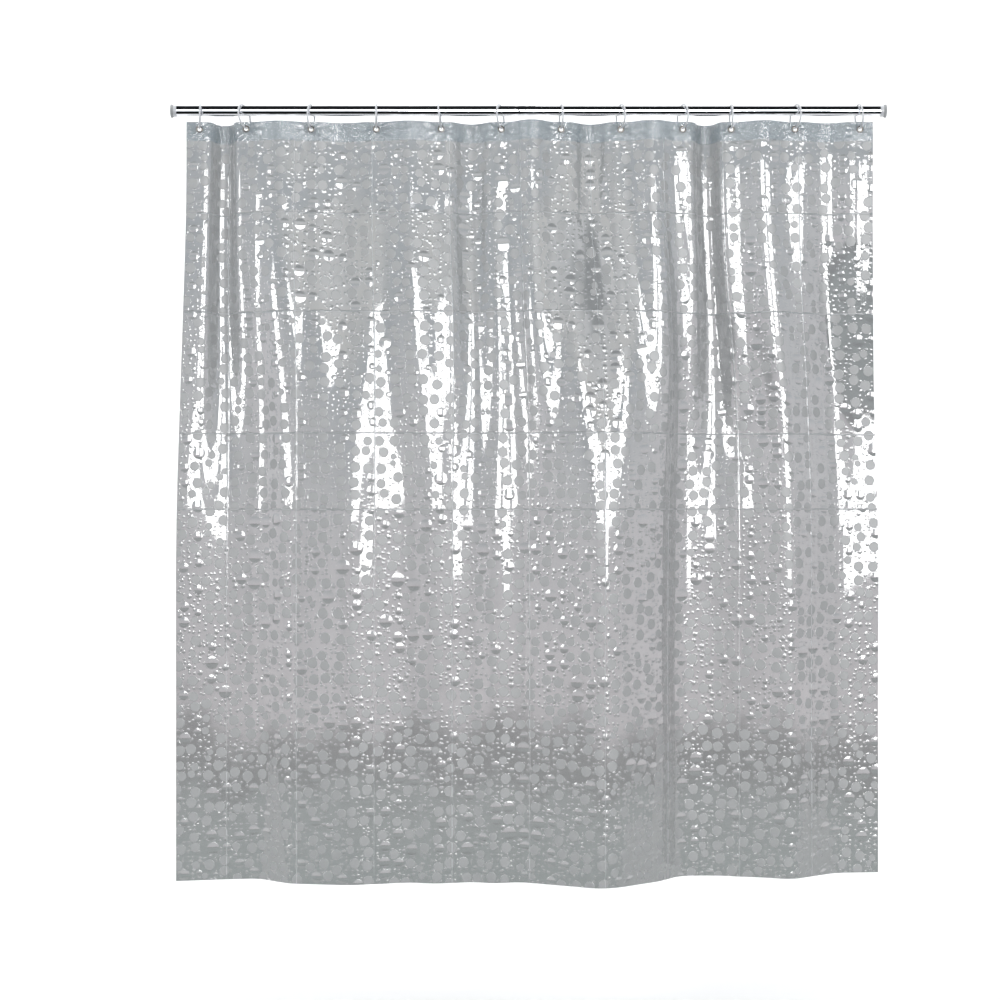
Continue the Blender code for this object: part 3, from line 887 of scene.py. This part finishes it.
def build_end(side, body, plastic, rubber):
    """A ribbed rubber foot against the wall and the moulded cap it is pressed on."""
    low, high = (Vector(corner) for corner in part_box(f"{side}_end_pad"))
    way = 1.0 if side == "left" else -1.0
    wall = low.x if side == "left" else high.x
    foot = [(0.0, 0.0), (0.0, 0.0030)]
    for step in range(4):
        r = 0.0045 + 0.0026 * step
        foot += [(0.0, r), (0.0005, r + 0.0004), (0.0005, r + 0.0009), (0.0, r + 0.0013)]
    foot += [
        (0.0, 0.0148), (0.0003, 0.0154), (0.0010, 0.0155), (0.0030, 0.0155),
        (0.0038, 0.0150), (0.0058, 0.0136), (0.0060, 0.0132), (0.0060, 0.0),
    ]
    pad = spun(
        f"{side}_rubber_foot", [(way * x, r) for x, r in foot], Vector((wall, 0, 0)), "X", 72,
        closed=False,
    )
    finish_piece(pad, body, [f"{side}_end_pad"], rubber)
    bore = (0.0120 if side == "left" else 0.0112) - 0.0003
    cap = [
        (0.0, 0.0), (0.0, 0.0132), (0.0003, 0.0135), (0.0055, 0.0135), (0.0064, 0.0133),
        (0.0071, 0.0128), (0.0074, 0.0122), (0.0074, bore), (0.0370, bore),
        (0.0374, bore - 0.0004), (0.0374, 0.0),
    ]
    shell = spun(
        f"{side}_moulded_cap", [(way * x, r) for x, r in cap],
        Vector((wall + way * 0.0063, 0, 0)), "X", 72, closed=False,
    )
    finish_piece(shell, body, [f"{side}_end_cap"], plastic)


# ---------------------------------------------------------------- studio

def build_stage():
    """A white floor that curves up into a white backdrop."""
    deselect()
    bpy.ops.mesh.primitive_plane_add(size=1.0)
    sweep = bpy.context.object
    sweep.name = sweep.data.name = "studio_sweep"
    sweep.data.transform(Matrix.Diagonal((9.0, 1.0, 1.0, 1.0)))
    sweep.data.transform(Matrix.Translation((0.8, FLOOR_FRONT + 0.5, FLOOR_Z)))
    bpy.ops.object.mode_set(mode="EDIT")
    bpy.ops.mesh.select_mode(type="EDGE")
    bpy.ops.mesh.select_all(action="DESELECT")
    bpy.ops.object.mode_set(mode="OBJECT")
    for edge in sweep.data.edges:
        ends = [sweep.data.vertices[n].co.y for n in edge.vertices]
        edge.select = min(ends) > FLOOR_FRONT + 0.9
    bpy.ops.object.mode_set(mode="EDIT")
    reach = WALL_Y - COVE_R - (FLOOR_FRONT + 1.0)
    bpy.ops.mesh.extrude_region_move(TRANSFORM_OT_translate={"value": (0, reach, 0)})
    for step in range(12):
        turn = math.pi / 2 * (step + 0.5) / 12
        hop = 2 * COVE_R * math.sin(math.pi / 48)
        move = (0, hop * math.cos(turn), hop * math.sin(turn))
        bpy.ops.mesh.extrude_region_move(TRANSFORM_OT_translate={"value": move})
    bpy.ops.mesh.extrude_region_move(TRANSFORM_OT_translate={"value": (0, 0, 5.0)})
    bpy.ops.object.mode_set(mode="OBJECT")
    bpy.ops.object.shade_smooth()
    paper = matt_material("white_paper_sweep", "f4f4f4", 0.5)
    sweep.data.materials.append(paper)
    # Its back is clear, so that a view from behind isn't shut off by it.
    tree = paper.node_tree
    clear_behind = node(
        tree, "ShaderNodeMixShader",
        {
            0: node(tree, "ShaderNodeNewGeometry").outputs["Backfacing"],
            1: tree.nodes["Principled BSDF"].outputs["BSDF"],
            2: node(tree, "ShaderNodeBsdfTransparent").outputs["BSDF"],
        },
    )
    tree.links.new(clear_behind.outputs["Shader"], tree.nodes["Material Output"].inputs["Surface"])


def soft_light(name, place, target, size, power, mirrored=True):
    lamp = bpy.data.lights.new(name, "AREA")
    lamp.shape = "RECTANGLE"
    lamp.size, lamp.size_y = size
    lamp.energy = power
    made = bpy.data.objects.new(name, lamp)
    bpy.context.scene.collection.objects.link(made)
    made.location = place
    made.rotation_euler = (Vector(target) - Vector(place)).to_track_quat("-Z", "Y").to_euler()
    made.visible_glossy = mirrored
    made.visible_camera = False
    return made


def build_lights():
    """Three windows behind the viewer, the right one in two parts, a fill, and stage lamps."""
    middle = (0.78, 0.0, -0.9)
    for name, near, far, low, high in (
        ("window_left", -7.5, -3.4, -0.97, 0.61), ("window_middle", 0.60, 1.90, -0.97, 0.61),
        ("window_right", 2.60, 4.40, -0.97, 0.61), ("window_right_low", 2.50, 3.60, -1.42, -0.97),
    ):
        wide, tall = far - near, high - low
        place, level = (near + far) / 2, (low + high) / 2
        window = soft_light(
            name, (place, WINDOW_Y, level), (place, 0.0, level), (wide, tall),
            WINDOW_POWER * wide * tall,
        )
        window.visible_diffuse = False
    soft_light("fill", (0.8, -3.0, 3.2), middle, (3.0, 2.0), 60, mirrored=False)
    soft_light(
        "backdrop_lamp", (0.8, 0.9, 3.0), (0.8, WALL_Y, -0.8), (5.0, 1.0), 75, mirrored=False
    )
    soft_light(
        "floor_lamp", (0.8, 0.7, 2.2), (0.8, 0.7, FLOOR_Z), (5.0, 2.0), 60, mirrored=False
    )
    world = bpy.data.worlds.new("studio_surroundings")
    bpy.context.scene.world = world
    world.use_nodes = True
    tree = world.node_tree
    way = node(tree, "ShaderNodeTexCoord").outputs["Generated"]
    split = node(tree, "ShaderNodeSeparateXYZ", {"Vector": way})
    wobble = node(
        tree, "ShaderNodeTexNoise", {"Vector": way, "Scale": 2.5, "Detail": 2.0}
    ).outputs["Fac"]
    height = maths(tree, "MULTIPLY_ADD", split.outputs["Z"], 0.5, 0.5)
    bands = node(tree, "ShaderNodeValToRGB", {"Fac": height})
    # A pale room over a dark skirting line and a grey-green floor, and dark above and below.
    ramp = bands.color_ramp
    ramp.elements[0].position, ramp.elements[0].color = 0.0, linear("0a0b0b")
    ramp.elements[1].position, ramp.elements[1].color = 1.0, linear("101112")
    for spot, code in (
        (0.325, "0a0b0b"), (0.340, "75807e"), (0.414, "7b8583"), (0.418, "1a0d06"),
        (0.432, "24140c"), (0.438, "f6eff3"), (0.52, "f1f0f3"), (0.60, "a9b2ba"),
        (0.63, "f4f2ec"), (0.685, "f0f1f2"), (0.710, "101112"),
    ):
        step = ramp.elements.new(spot)
        step.color = linear(code)
    room = node(tree, "ShaderNodeBackground", {"Color": bands.outputs["Color"]})
    tree.links.new(blended(tree, wobble, 2.2, 4.6), room.inputs["Strength"])
    even = tree.nodes["Background"]
    even.inputs["Color"].default_value = linear("f6f8fa")
    path = node(tree, "ShaderNodeLightPath")
    tree.links.new(blended(tree, path.outputs["Is Camera Ray"], 0.85, 1.3), even.inputs["Strength"])
    mirrored = path.outputs["Is Glossy Ray"]
    chosen = node(
        tree, "ShaderNodeMixShader",
        {0: mirrored, 1: even.outputs["Background"], 2: room.outputs["Background"]},
    )
    tree.links.new(chosen.outputs["Shader"], tree.nodes["World Output"].inputs["Surface"])
    world.cycles.sampling_method = "NONE"
    bpy.context.scene.view_settings.view_transform = "Standard"


def build_camera():
    lens = bpy.data.cameras.new("view")
    lens.lens = CAMERA_BACK * lens.sensor_width / VIEW_WIDTH
    made = bpy.data.objects.new("view", lens)
    bpy.context.scene.collection.objects.link(made)
    made.location = (VIEW_X, -CAMERA_BACK, VIEW_Z)
    made.rotation_euler = (math.pi / 2, 0.0, 0.0)
    bpy.context.scene.camera = made


def main():
    chrome = chrome_material()
    plastic = ring_plastic_material()
    nickel = nickel_material()
    build_film()
    build_rod(chrome, plastic, rubber_material(), spring_material())
    for index in range(RINGS):
        build_ring(index, plastic)
        build_eyelet(index, nickel)
    build_stage()
    build_lights()
    build_camera()


main()
